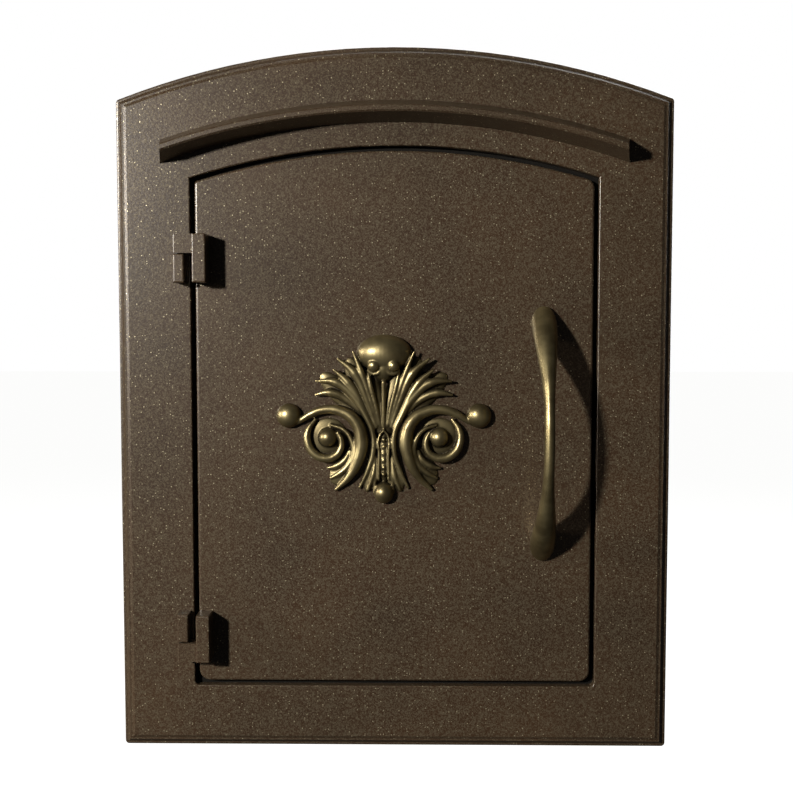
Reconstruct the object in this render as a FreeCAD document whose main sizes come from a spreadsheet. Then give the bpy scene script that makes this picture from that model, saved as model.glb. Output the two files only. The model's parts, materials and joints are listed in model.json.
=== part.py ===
"""Wall mailbox with a cast front plate, an inset arched door and a sheet steel box.

Row frame, in millimetres: X to the right, Y into the wall, Z up. The origin is on the wall's
face, at the middle of the front plate's bottom edge. Heights above the wall's face, towards
the viewer, are called stand-offs here: a stand-off of 14 is the plane y = -14.
"""

import FreeCAD, Part
import math
import os

import Sketcher

ORIGIN = -1          # Sketcher's number for the sketch's own origin and horizontal axis
VERTICAL_AXIS = -2
START, END, CENTRE = 1, 2, 3

DIMENSIONS = [
    # front plate, a hollow-backed casting
    ("plate_half_width", 176.0), ("crown_radius", 490.0), ("arch_centre", -42.0),
    ("lip_height", 10.0), ("step_height", 13.0), ("field_height", 14.0), ("field_wall", 6.0),
    ("lip_width", 2.0), ("outer_bevel", 2.4), ("step_width", 1.1), ("inner_bevel", 1.9),
    ("rim_wall", 6.0), ("plate_corner", 2.5), ("lip_round", 1.3), ("opening_round", 0.8),
    ("opening_half_width", 129.0), ("opening_bottom", 40.7), ("opening_crown", 428.0),
    ("opening_corner", 3.0),
    # door
    ("door_half_width", 126.0), ("door_bottom", 43.8), ("door_crown", 425.0), ("door_wall", 4.0),
    ("door_low_corner", 7.0), ("door_hinge_corner", 2.0), ("door_free_corner", 6.0),
    ("door_round", 1.6),
    # rain hood
    ("hood_half_width", 147.5), ("hood_lip_half_width", 143.5), ("hood_lip_height", 34.0),
    ("hood_root_low", 442.5), ("hood_root_high", 456.5), ("hood_lip_low", 446.3),
    ("hood_lip_high", 450.6), ("hood_lip_chamfer", 1.0), ("hood_sweep", 50.0),
    ("hood_screw_arc", 449.5), ("hood_screw_near", 39.2), ("hood_screw_far", 108.7),
    ("hood_hole_depth", 9.0), ("hood_trim_width", 220.0), ("hood_trim_spare", 5.0),
    # hinges: the pin's axis, the block on the plate and the bracket on the door
    ("pin_x", -134.3), ("pin_height", 21.0), ("pin_radius", 1.75), ("pin_play", 0.05),
    ("block_half_width", 3.4), ("block_front", 26.5), ("block_length", 17.8),
    ("arm_half_depth", 5.5), ("arm_length", 11.9), ("arm_lap", 1.0), ("hinge_gap", 0.6),
    ("bar_left", -125.4), ("bar_right", -116.8), ("bar_front", 29.5), ("hinge_round", 0.9),
    ("upper_block_bottom", 300.2), ("lower_block_bottom", 72.0),
    ("block_screw_pitch", 10.0), ("block_hole_depth", 3.6), ("washer_radius", 3.2),
    ("washer_thickness", 0.4), ("bracket_screw_pitch", 19.0), ("bracket_hole_depth", 8.0),
    # handle
    ("handle_x", 94.5), ("handle_middle", 204.4), ("handle_half_length", 83.0),
    ("handle_inner_half_length", 62.0), ("handle_rise", 45.0), ("handle_inner_rise", 37.0),
    ("handle_foot_width", 16.0), ("handle_waist_width", 6.6),
    ("handle_screw_pitch", 144.0), ("handle_hole_depth", 9.0),
    # ornament
    ("ornament_x", -6.5), ("ornament_base", 202.4), ("ornament_stud_pitch", 70.0),
    ("stud_radius", 1.9), ("stud_clear", 2.1), ("stud_length", 5.5), ("stud_root", 2.0),
    ("push_nut_radius", 5.0), ("push_nut_wall", 1.0), ("ornament_reach", 100.0),
    # door stop, box and rear panel
    ("stop_half_width", 117.0), ("stop_bottom", 52.8), ("stop_crown", 416.0), ("stop_wall", 1.2),
    ("flange_half_width", 158.0), ("flange_bottom", 15.0), ("flange_top", 412.0),
    ("box_half_width", 143.0), ("box_bottom", 30.0), ("box_top", 388.0), ("box_depth", 375.0),
    ("sheet", 1.0), ("box_corner", 3.0), ("strip_depth", 12.0), ("panel_gap", 0.1),
    ("fixing_radius", 2.5), ("fixing_first", 60.0), ("fixing_pitch_y", 240.0),
    ("fixing_low", 110.0), ("fixing_pitch_z", 190.0), ("weep_radius", 3.0), ("weep_x", 90.0),
    ("weep_y", 20.0), ("rivet_radius", 1.6), ("rivet_head_radius", 3.2), ("rivet_head", 1.0),
    ("rivet_bulb_radius", 2.3), ("rivet_bulb", 1.6), ("rivet_inset", 6.0),
    # seal, strike plate and magnetic catch
    ("seal_outer_inset", 1.5), ("seal_inner_inset", 7.0), ("seal_thickness", 1.8),
    ("strike_left", 101.5), ("strike_right", 117.5), ("strike_wall", 1.5), ("strike_length", 40.0),
    ("strike_hole_depth", 3.0),
    ("catch_left", 101.0), ("catch_right", 116.5), ("catch_ear", 131.0), ("catch_middle", 204.4),
    ("catch_length", 46.0), ("catch_depth", 15.0), ("catch_ear_wall", 3.0), ("catch_shy", 0.6),
    ("magnet_left", 106.0), ("magnet_right", 111.6), ("pole_wall", 1.5), ("magnet_length", 34.0),
    ("magnet_depth", 12.0), ("pole_gap", 0.15), ("catch_screw_x", 124.0),
    ("catch_screw_pitch", 30.0),
    # screws
    ("thread_gap", 0.05), ("m3_radius", 1.5), ("m3_clear", 1.7), ("m3_head_radius", 2.75),
    ("m3_head", 2.0), ("m3_sink_radius", 2.9), ("m3_sink", 1.4), ("m4_radius", 2.0),
    ("m4_clear", 2.25), ("m4_head_radius", 4.0), ("m4_head", 2.6), ("m5_radius", 2.5),
    ("m5_clear", 2.75), ("m5_head_radius", 4.5), ("m5_head", 3.5), ("m5_washer_radius", 5.4),
    ("m5_washer", 1.0), ("head_clear_radius", 4.0), ("box_screw_x", 150.5),
    ("box_screw_low", 60.0), ("box_screw_pitch", 141.0), ("box_screw_foot_x", 70.0),
    ("box_screw_foot_z", 22.5), ("box_hole_depth", 4.5),
]

doc = FreeCAD.newDocument("wall_mailbox")
sheet = doc.addObject("Spreadsheet::Sheet", "dims")
for row, (alias, number) in enumerate(DIMENSIONS, start=1):
    sheet.set(f"A{row}", alias)
    sheet.set(f"B{row}", str(number))
    sheet.setAlias(f"B{row}", alias)
doc.recompute()


class Size:
    """A number with the expression that gives it, so that what is drawn stays bound to the sheet."""

    def __init__(self, text, number):
        self.text = text
        self.number = number

    def joined(self, other, sign, number):
        return Size(f"({self.text} {sign} {as_size(other).text})", number)

    def __add__(self, other):
        return self.joined(other, "+", self.number + as_size(other).number)

    def __sub__(self, other):
        return self.joined(other, "-", self.number - as_size(other).number)

    def __mul__(self, other):
        return self.joined(other, "*", self.number * as_size(other).number)

    def __truediv__(self, other):
        return self.joined(other, "/", self.number / as_size(other).number)

    def __neg__(self):
        return as_size(0.0) - self


def as_size(value):
    return value if isinstance(value, Size) else Size(f"{float(value):.4f}", float(value))


def size(alias):
    """The cell of that name in the sheet."""
    return Size(f"dims.{alias}", float(sheet.get(alias)))


def root(value):
    return Size(f"sqrt({value.text})", math.sqrt(value.number))


def slope_angle(run, rise):
    """The angle off the vertical, in degrees, of a bevel that far across and that far deep."""
    return Size(f"atan({run.text} / {rise.text})", math.degrees(math.atan(run.number / rise.number)))


# ---------------------------------------------------------------- sketches

def new_body(label):
    body = doc.addObject("PartDesign::Body", label)
    body.Label = label
    body.AllowCompound = True
    return body


def sketch_on(body, name, role, offset=None):
    """An empty sketch on one of the body's own planes, moved out along the plane's normal.

    XZ_Plane faces the viewer, so there the offset is a stand-off from the wall's face.
    """
    sketch = body.newObject("Sketcher::SketchObject", name)
    plane = [feature for feature in body.Origin.OriginFeatures if feature.Role == role][0]
    sketch.AttachmentSupport = [(plane, "")]
    sketch.MapMode = "FlatFace"
    if offset is not None:
        sketch.setExpression("AttachmentOffset.Base.z", offset.text)
    return sketch


def bind(sketch, kind, places, value):
    """A dimension between the given points, tied to the sheet."""
    number = sketch.addConstraint(Sketcher.Constraint(kind, *places, value.number))
    sketch.setExpression(f"Constraints[{number}]", value.text)


def place_point(sketch, line, end, x, y):
    """Give one end of a line, or a circle's centre, its distances from the sketch's origin."""
    for value, kind, axis in ((x, "DistanceX", VERTICAL_AXIS), (y, "DistanceY", ORIGIN)):
        if abs(value.number) < 1e-9:
            sketch.addConstraint(Sketcher.Constraint("PointOnObject", line, end, axis))
        else:
            bind(sketch, kind, (ORIGIN, START, line, end), value)


def add_line(sketch, start, end):
    ends = [FreeCAD.Vector(x.number, y.number, 0) for x, y in (start, end)]
    return sketch.addGeometry(Part.LineSegment(*ends), False)


def add_polygon(sketch, corners):
    """A closed outline of straight lines with every corner dimensioned."""
    corners = [(as_size(x), as_size(y)) for x, y in corners]
    count = len(corners)
    lines = [add_line(sketch, corners[i], corners[(i + 1) % count]) for i in range(count)]
    for i, line in enumerate(lines):
        sketch.addConstraint(Sketcher.Constraint("Coincident", line, END, lines[(i + 1) % count], START))
        place_point(sketch, line, START, *corners[i])


def add_rectangle(sketch, left, right, bottom, top):
    add_polygon(sketch, [(left, bottom), (right, bottom), (right, top), (left, top)])


def add_circles(sketch, places, radius):
    for x, y in places:
        x, y = as_size(x), as_size(y)
        centre = FreeCAD.Vector(x.number, y.number, 0)
        circle = Part.Circle(centre, FreeCAD.Vector(0, 0, 1), radius.number)
        number = sketch.addGeometry(circle, False)
        place_point(sketch, number, CENTRE, x, y)
        bind(sketch, "Radius", (number,), radius)


def add_hexagons(sketch, places, across):
    """Sockets: a hexagon round each place, with a corner on the horizontal."""
    for x, y in places:
        x, y = as_size(x), as_size(y)
        corners = []
        for step in range(6):
            turn = math.radians(60 * step)
            corners.append((x + across * round(math.cos(turn), 6), y + across * round(math.sin(turn), 6)))
        add_polygon(sketch, corners)


def add_arc(sketch, centre, radius, first, last):
    """An arc drawn anticlockwise between two points. Its ends are tied by the caller."""
    middle = FreeCAD.Vector(centre[0].number, centre[1].number, 0)
    circle = Part.Circle(middle, FreeCAD.Vector(0, 0, 1), radius.number)
    angles = [math.atan2(y.number - middle.y, x.number - middle.x) for x, y in (first, last)]
    if angles[1] < angles[0]:
        angles[1] += 2 * math.pi
    arc = sketch.addGeometry(Part.ArcOfCircle(circle, *angles), False)
    place_point(sketch, arc, CENTRE, *centre)
    bind(sketch, "Radius", (arc,), radius)
    return arc


def add_arched_outline(sketch, half_width, bottom, crown):
    """Flat bottom, upright sides and a top arched about the point that all the arches share."""
    centre = size("arch_centre")
    side_top = centre + root(crown * crown - half_width * half_width)
    left_foot, right_foot = (-half_width, bottom), (half_width, bottom)
    left_top, right_top = (-half_width, side_top), (half_width, side_top)
    floor = add_line(sketch, left_foot, right_foot)
    right = add_line(sketch, right_foot, right_top)
    arch = add_arc(sketch, (as_size(0), centre), crown, right_top, left_top)
    left = add_line(sketch, left_top, left_foot)
    for first, second in ((floor, right), (right, arch), (arch, left), (left, floor)):
        sketch.addConstraint(Sketcher.Constraint("Coincident", first, END, second, START))
    for side in (right, left):
        sketch.addConstraint(Sketcher.Constraint("Vertical", side))
    place_point(sketch, floor, START, *left_foot)
    place_point(sketch, floor, END, *right_foot)


# ---------------------------------------------------------------- features

def add_pad(body, name, sketch, length, inwards=False, taper=None, both_ways=False):
    """Material along the sketch's normal, or against it where it goes inwards."""
    pad = body.newObject("PartDesign::Pad", name)
    pad.Profile = sketch
    pad.setExpression("Length", length.text)
    pad.Reversed = inwards
    pad.Midplane = both_ways
    if taper is not None:
        pad.setExpression("TaperAngle", f"-({taper.text})")
    doc.recompute()
    return pad


def add_pocket(body, name, sketch, depth=None, outwards=True, taper=None):
    """A cut along the sketch's normal, or right through where no depth is given."""
    before = body.Shape.Volume
    pocket = body.newObject("PartDesign::Pocket", name)
    pocket.Profile = sketch
    if depth is None:
        pocket.Type = "ThroughAll"
        pocket.Midplane = True
    else:
        pocket.setExpression("Length", depth.text)
        pocket.Reversed = outwards
    if taper is not None:
        pocket.setExpression("TaperAngle", f"-({taper.text})")
    doc.recompute()
    if body.Shape.Volume >= before - 1e-6:
        raise ValueError(f"{body.Label}: {name} cuts nothing")
    return pocket


def edges_where(shape, wanted):
    """Names of the edges whose middle point passes the test."""
    names = []
    for number, edge in enumerate(shape.Edges, start=1):
        middle = edge.valueAt((edge.FirstParameter + edge.LastParameter) / 2)
        if wanted(middle, edge):
            names.append(f"Edge{number}")
    return names


def add_fillet(body, name, radius, wanted):
    base = body.Tip
    names = edges_where(base.Shape, wanted)
    if not names:
        raise ValueError(f"{body.Label}: {name} finds no edge")
    fillet = body.newObject("PartDesign::Fillet", name)
    fillet.Base = (base, names)
    fillet.setExpression("Radius", radius.text)
    doc.recompute()
    return fillet


def near(first, second, slack=0.05):
    return abs(first - second) < slack


def runs_along_y(edge):
    span = edge.BoundBox
    return span.YLength > 0.5 and span.XLength < 0.01 and span.ZLength < 0.01


# ---------------------------------------------------------------- places that several pieces share

HALF = 0.5


def mirrored(x, y):
    return [(-x, y), (x, y)]


def hood_screw_places():
    places = []
    for name in ("hood_screw_near", "hood_screw_far"):
        x = size(name)
        arc = size("hood_screw_arc")
        places += mirrored(x, size("arch_centre") + root(arc * arc - x * x))
    return places


def box_screw_places():
    places = mirrored(size("box_screw_foot_x"), size("box_screw_foot_z"))
    for step in range(3):
        places += mirrored(size("box_screw_x"), size("box_screw_low") + size("box_screw_pitch") * step)
    return places


def block_screw_places():
    places = []
    for level in ("upper_block_bottom", "lower_block_bottom"):
        middle = size(level) + size("block_length") * HALF
        for side in (-HALF, HALF):
            places.append((size("pin_x"), middle + size("block_screw_pitch") * side))
    return places


def bracket_span(upper):
    """Bottom and top of a door bracket, and the bottom and top of its arm."""
    reach = size("arm_length") + size("hinge_gap")
    if upper:
        block_top = size("upper_block_bottom") + size("block_length")
        top = block_top + reach
        return size("upper_block_bottom"), top, block_top + size("hinge_gap"), top
    block_bottom = size("lower_block_bottom")
    bottom = block_bottom - reach
    return bottom, block_bottom + size("block_length"), bottom, block_bottom - size("hinge_gap")


def bracket_screw_places():
    x = (size("bar_left") + size("bar_right")) * HALF
    places = []
    for upper in (True, False):
        bottom, top = bracket_span(upper)[:2]
        for side in (-HALF, HALF):
            places.append((x, (bottom + top) * HALF + size("bracket_screw_pitch") * side))
    return places


def handle_screw_places():
    return [(size("handle_x"), size("handle_middle") + size("handle_screw_pitch") * side)
            for side in (-HALF, HALF)]


def ornament_stud_places():
    return [(size("ornament_x") + size("ornament_stud_pitch") * side, size("ornament_base"))
            for side in (-HALF, HALF)]


def catch_screw_places():
    return [(size("catch_screw_x"), size("catch_middle") + size("catch_screw_pitch") * side)
            for side in (-HALF, HALF)]


def strike_screw_places():
    return [((size("strike_left") + size("strike_right")) * HALF, size("catch_middle"))]


field_back = size("field_height") - size("field_wall")
door_back = size("field_height") - size("door_wall")
stop_back = field_back - size("stop_wall")
flange_back = stop_back - size("sheet")
seal_back = door_back - size("seal_thickness")
strike_back = door_back - size("strike_wall")


# ---------------------------------------------------------------- the front plate's side

def make_faceplate():
    """Arched plate with a rounded lip and two bevelled steps up to its flat field, hollow behind."""
    body = new_body("faceplate")
    half_width, crown = size("plate_half_width"), size("crown_radius")

    def outline(name, height, inset):
        sketch = sketch_on(body, name, "XZ_Plane", height)
        add_arched_outline(sketch, half_width - inset, inset, crown - inset)
        return sketch

    rim = sketch_on(body, "rim_outline", "XZ_Plane")
    add_arched_outline(rim, half_width, as_size(0), crown)
    add_pad(body, "rim", rim, size("lip_height"))

    def at_outer_corner(point, edge):
        return runs_along_y(edge) and near(abs(point.x), half_width.number)

    add_fillet(body, "plate_corners", size("plate_corner"), at_outer_corner)
    add_fillet(body, "lip_edge", size("lip_round"),
               lambda point, edge: near(point.y, -size("lip_height").number))
    step_rise = size("step_height") - size("lip_height")
    step = outline("step_outline", size("lip_height"), size("lip_width"))
    add_pad(body, "step", step, step_rise, taper=slope_angle(size("outer_bevel"), step_rise))
    field_rise = size("field_height") - size("step_height")
    field_inset = size("lip_width") + size("outer_bevel") + size("step_width")
    field = outline("field_outline", size("step_height"), field_inset)
    add_pad(body, "field", field, field_rise, taper=slope_angle(size("inner_bevel"), field_rise))

    hollow = sketch_on(body, "hollow_outline", "XZ_Plane")
    wall = size("rim_wall")
    add_arched_outline(hollow, half_width - wall, wall, crown - wall)
    add_pocket(body, "hollow", hollow, field_back)
    opening = sketch_on(body, "opening_outline", "XZ_Plane")
    add_arched_outline(opening, size("opening_half_width"), size("opening_bottom"), size("opening_crown"))
    add_pocket(body, "opening", opening)

    def at_opening_foot(point, edge):
        return (runs_along_y(edge) and near(abs(point.x), size("opening_half_width").number)
                and near(point.z, size("opening_bottom").number))

    add_fillet(body, "opening_corners", size("opening_corner"), at_opening_foot)

    def on_opening_edge(point, edge):
        on_face = near(point.y, -size("field_height").number)
        beside = abs(point.x) <= size("opening_half_width").number + 0.1
        crown = (size("arch_centre") + size("opening_crown")).number
        return on_face and beside and size("opening_bottom").number - 0.1 < point.z < crown + 0.1

    add_fillet(body, "opening_edge", size("opening_round"), on_opening_edge)

    clear_holes = sketch_on(body, "clear_holes", "XZ_Plane")
    add_circles(clear_holes, hood_screw_places(), size("m4_clear"))
    add_circles(clear_holes, block_screw_places(), size("m3_clear"))
    add_pocket(body, "screw_holes", clear_holes)
    tapped_holes = sketch_on(body, "tapped_holes", "XZ_Plane", field_back)
    add_circles(tapped_holes, box_screw_places(), size("m4_radius") + size("thread_gap"))
    add_pocket(body, "box_screw_holes", tapped_holes, size("box_hole_depth"))
    return body


def make_rain_hood():
    """Arched eyebrow: a wedge swept about the arches' centre, with upright drafted ends."""
    body = new_body("rain_hood")
    root_y, lip_y = -size("field_height"), -size("hood_lip_height")
    centre = size("arch_centre")
    profile = sketch_on(body, "profile", "YZ_Plane")
    chamfer = size("hood_lip_chamfer")
    add_polygon(profile, [
        (root_y, centre + size("hood_root_low")),
        (root_y, centre + size("hood_root_high")),
        (lip_y + chamfer, centre + size("hood_lip_high")),
        (lip_y, centre + size("hood_lip_high") - chamfer),
        (lip_y, centre + size("hood_lip_low") + chamfer),
        (lip_y + chamfer, centre + size("hood_lip_low")),
    ])
    spare = size("hood_trim_spare")
    axis = add_line(profile, (-spare, centre), (spare, centre))
    profile.setConstruction(axis, True)
    place_point(profile, axis, START, -spare, centre)
    place_point(profile, axis, END, spare, centre)
    sweep = body.newObject("PartDesign::Revolution", "sweep")
    sweep.Profile = profile
    sweep.ReferenceAxis = (profile, ["Axis0"])
    sweep.setExpression("Angle", "dims.hood_sweep")
    sweep.Midplane = True
    doc.recompute()

    for name, side in (("left", -1), ("right", 1)):
        at_root, at_lip = size("hood_half_width") * side, size("hood_lip_half_width") * side
        beyond = size("hood_trim_width") * side
        trim = sketch_on(body, f"{name}_end_outline", "XY_Plane")
        add_polygon(trim, [
            (at_root, root_y), (at_lip, lip_y), (at_lip, lip_y - spare), (beyond, lip_y - spare),
            (beyond, root_y + spare), (at_root, root_y + spare),
        ])
        add_pocket(body, f"{name}_end", trim)

    holes = sketch_on(body, "screw_holes", "XZ_Plane", size("field_height"))
    add_circles(holes, hood_screw_places(), size("m4_radius") + size("thread_gap"))
    add_pocket(body, "holes", holes, size("hood_hole_depth"))
    return body


def make_hinge_block(label, bottom):
    """Upright block on the plate, beside the opening, that holds the hinge pin."""
    body = new_body(label)
    x, half_width = size("pin_x"), size("block_half_width")
    section = sketch_on(body, "section", "XY_Plane", bottom)
    add_rectangle(section, x - half_width, x + half_width, -size("block_front"), -size("field_height"))
    add_pad(body, "block", section, size("block_length"))

    def on_front_edge(point, edge):
        return near(point.y, -size("block_front").number)

    add_fillet(body, "front_edges", size("hinge_round"), on_front_edge)
    pin_hole = sketch_on(body, "pin_hole_outline", "XY_Plane", bottom)
    add_circles(pin_hole, [(x, -size("pin_height"))], size("pin_radius"))
    add_pocket(body, "pin_hole", pin_hole)
    screw_holes = sketch_on(body, "screw_hole_outline", "XZ_Plane", size("field_height"))
    middle = bottom + size("block_length") * HALF
    places = [(x, middle + size("block_screw_pitch") * side) for side in (-HALF, HALF)]
    add_circles(screw_holes, places, size("m3_radius") + size("thread_gap"))
    add_pocket(body, "screw_holes", screw_holes, size("block_hole_depth"))
    return body


def make_hinge_pin(label, upper):
    """Plain dowel pressed in the block, which the bracket's arm turns on."""
    bottom, top = bracket_span(upper)[:2]
    pin = doc.addObject("Part::Cylinder", label)
    pin.Label = label
    pin.setExpression("Radius", "dims.pin_radius")
    pin.setExpression("Height", (top - bottom).text)
    pin.setExpression("Placement.Base.x", "dims.pin_x")
    pin.setExpression("Placement.Base.y", "-dims.pin_height")
    pin.setExpression("Placement.Base.z", bottom.text)
    return pin


def make_hinge_washers():
    """Thin thrust washers between each block and the arm that bears on it."""
    body = new_body("hinge_washers")
    slack = (size("hinge_gap") - size("washer_thickness")) * HALF
    levels = {"upper": size("upper_block_bottom") + size("block_length") + slack,
              "lower": size("lower_block_bottom") - size("hinge_gap") + slack}
    for name, level in levels.items():
        ring = sketch_on(body, f"{name}_ring", "XY_Plane", level)
        add_circles(ring, [(size("pin_x"), -size("pin_height"))], size("washer_radius"))
        add_circles(ring, [(size("pin_x"), -size("pin_height"))], size("pin_radius") + size("thread_gap"))
        add_pad(body, f"{name}_washer", ring, size("washer_thickness"))
    return body


def make_screws(label, places, head_seat, kind, reach, sunk=False):
    """Socket-head screws driven from behind, towards the viewer, as separate solids in one node."""
    body = new_body(label)
    head, head_radius = size(f"{kind}_head"), size(f"{kind}_head_radius")
    if sunk:
        head, head_radius = size(f"{kind}_sink"), size(f"{kind}_sink_radius")
    heads = sketch_on(body, "heads", "XZ_Plane", head_seat if sunk else head_seat - head)
    add_circles(heads, places, head_radius)
    taper = slope_angle(head_radius - size(f"{kind}_radius"), head) if sunk else None
    add_pad(body, "head", heads, head, taper=taper)
    shank_start = head_seat + head if sunk else head_seat
    shanks = sketch_on(body, "shanks", "XZ_Plane", shank_start)
    add_circles(shanks, places, size(f"{kind}_radius"))
    add_pad(body, "shank", shanks, reach - shank_start)
    sockets = sketch_on(body, "sockets", "XZ_Plane", head_seat if sunk else head_seat - head)
    add_hexagons(sockets, places, size(f"{kind}_radius"))
    add_pocket(body, "socket", sockets, head * HALF)
    return body


def make_door_stop_frame():
    """Flat sheet frame between plate and box, whose inner edge stops the door and carries the catch."""
    body = new_body("door_stop_frame")
    outline = sketch_on(body, "outline", "XZ_Plane", stop_back)
    add_rectangle(outline, -size("flange_half_width"), size("flange_half_width"),
                  size("flange_bottom"), size("flange_top"))
    add_arched_outline(outline, size("stop_half_width"), size("stop_bottom"), size("stop_crown"))
    add_pad(body, "frame", outline, size("stop_wall"))
    holes = sketch_on(body, "hole_outline", "XZ_Plane", stop_back)
    add_circles(holes, hood_screw_places() + box_screw_places(), size("m4_clear"))
    add_circles(holes, block_screw_places(), size("head_clear_radius"))
    add_circles(holes, catch_screw_places(), size("m3_radius") + size("thread_gap"))
    add_pocket(body, "holes", holes)
    return body


def rivet_places():
    """Rivets that hold the rear panel: side ones as (y, z), top and bottom ones as (x, y)."""
    y = size("box_depth") - size("rivet_inset")
    middle = (size("box_bottom") + size("box_top")) * HALF
    sides = [(y, middle + size("box_screw_pitch") * step) for step in (-1, 0, 1)]
    floor_and_roof = [(size("box_screw_foot_x") * step, y) for step in (-1, 1)]
    return sides, floor_and_roof


def make_box_shell():
    """Folded sheet wrapper, open at both ends, with a front flange turned outwards."""
    body = new_body("box_shell")
    half_width, bottom, top = size("box_half_width"), size("box_bottom"), size("box_top")
    wall = size("sheet")
    section = sketch_on(body, "section", "XZ_Plane", stop_back)
    add_rectangle(section, -half_width, half_width, bottom, top)
    add_rectangle(section, wall - half_width, half_width - wall, bottom + wall, top - wall)
    add_pad(body, "wrapper", section, size("box_depth") + stop_back, inwards=True)

    def on_long_edge(offset):
        def wanted(point, edge):
            return (runs_along_y(edge) and near(abs(point.x), half_width.number - offset)
                    and (near(point.z, bottom.number + offset) or near(point.z, top.number - offset)))
        return wanted

    add_fillet(body, "outer_folds", size("box_corner"), on_long_edge(0))
    add_fillet(body, "inner_folds", size("box_corner") - wall, on_long_edge(wall.number))
    flange = sketch_on(body, "flange_outline", "XZ_Plane", flange_back)
    add_rectangle(flange, -size("flange_half_width"), size("flange_half_width"),
                  size("flange_bottom"), size("flange_top"))
    add_rectangle(flange, wall - half_width, half_width - wall, bottom + wall, top - wall)
    add_pad(body, "flange", flange, wall)

    flange_holes = sketch_on(body, "flange_hole_outline", "XZ_Plane", flange_back)
    add_circles(flange_holes, hood_screw_places() + box_screw_places(), size("m4_clear"))
    add_pocket(body, "flange_holes", flange_holes)
    side_rivets, floor_rivets = rivet_places()
    side_holes = sketch_on(body, "side_hole_outline", "YZ_Plane")
    depths = [size("fixing_first") + size("fixing_pitch_y") * step for step in (0, 1)]
    levels = [size("fixing_low") + size("fixing_pitch_z") * step for step in (0, 1)]
    fixings = [(depth, level) for depth in depths for level in levels]
    add_circles(side_holes, fixings, size("fixing_radius"))
    add_circles(side_holes, side_rivets, size("rivet_radius") + size("thread_gap"))
    add_pocket(body, "side_holes", side_holes)
    floor_holes = sketch_on(body, "floor_rivet_outline", "XY_Plane")
    add_circles(floor_holes, floor_rivets, size("rivet_radius") + size("thread_gap"))
    add_pocket(body, "floor_rivet_holes", floor_holes)
    weeps = sketch_on(body, "weep_outline", "XY_Plane", bottom)
    add_circles(weeps, mirrored(size("weep_x"), size("weep_y")), size("weep_radius"))
    add_pocket(body, "weep_holes", weeps, wall)
    return body


def rear_panel_edges():
    """Left, right, bottom and top of the rear panel, which fits inside the wrapper."""
    inset = size("sheet") + size("panel_gap")
    return (inset - size("box_half_width"), size("box_half_width") - inset,
            size("box_bottom") + inset, size("box_top") - inset)


def make_box_rear_panel():
    """Flat sheet that closes the box from behind, inside the wrapper."""
    body = new_body("box_rear_panel")
    outline = sketch_on(body, "outline", "XZ_Plane", -size("box_depth"))
    add_rectangle(outline, *rear_panel_edges())
    add_pad(body, "panel", outline, size("sheet"))
    add_fillet(body, "corners", size("box_corner") - size("sheet"),
               lambda point, edge: runs_along_y(edge))
    return body


def make_rear_strips():
    """Four flat strips, riveted inside the wrapper, that the rear panel is welded to."""
    body = new_body("rear_strips")
    wall = size("sheet")
    left, right, low, high = rear_panel_edges()
    fold = size("box_corner") + wall
    ends = sketch_on(body, "strip_ends", "XZ_Plane", wall - size("box_depth"))
    add_rectangle(ends, left, left + wall, low + fold, high - fold)
    add_rectangle(ends, right - wall, right, low + fold, high - fold)
    add_rectangle(ends, left + fold, right - fold, low, low + wall)
    add_rectangle(ends, left + fold, right - fold, high - wall, high)
    add_pad(body, "strips", ends, size("strip_depth"))
    side_rivets, floor_rivets = rivet_places()
    side_holes = sketch_on(body, "side_hole_outline", "YZ_Plane")
    add_circles(side_holes, side_rivets, size("rivet_radius") + size("thread_gap"))
    add_pocket(body, "side_holes", side_holes)
    floor_holes = sketch_on(body, "floor_hole_outline", "XY_Plane")
    add_circles(floor_holes, floor_rivets, size("rivet_radius") + size("thread_gap"))
    add_pocket(body, "floor_holes", floor_holes)
    return body


def make_rear_rivets():
    """Blind rivets through the wrapper and the rear strips, as separate solids."""
    body = new_body("rear_rivets")
    side_rivets, floor_rivets = rivet_places()
    grip = size("sheet") * 2 + size("panel_gap")

    def rivets(name, role, places, face, outwards):
        """Head, shank and set end of each rivet. face is the wrapper's outer face."""
        sign = 1 if outwards else -1
        parts = (("head", face, size("rivet_head"), size("rivet_head_radius"), outwards),
                 ("shank", face, grip, size("rivet_radius"), not outwards),
                 ("bulb", face - grip * sign, size("rivet_bulb"), size("rivet_bulb_radius"), not outwards))
        for part, start, length, radius, forwards in parts:
            sketch = sketch_on(body, f"{name}_{part}_outline", role, start)
            add_circles(sketch, places, radius)
            add_pad(body, f"{name}_{part}", sketch, length, inwards=not forwards)

    rivets("right", "YZ_Plane", side_rivets, size("box_half_width"), True)
    rivets("left", "YZ_Plane", side_rivets, -size("box_half_width"), False)
    rivets("roof", "XY_Plane", floor_rivets, size("box_top"), True)
    rivets("floor", "XY_Plane", floor_rivets, size("box_bottom"), False)
    return body


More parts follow.
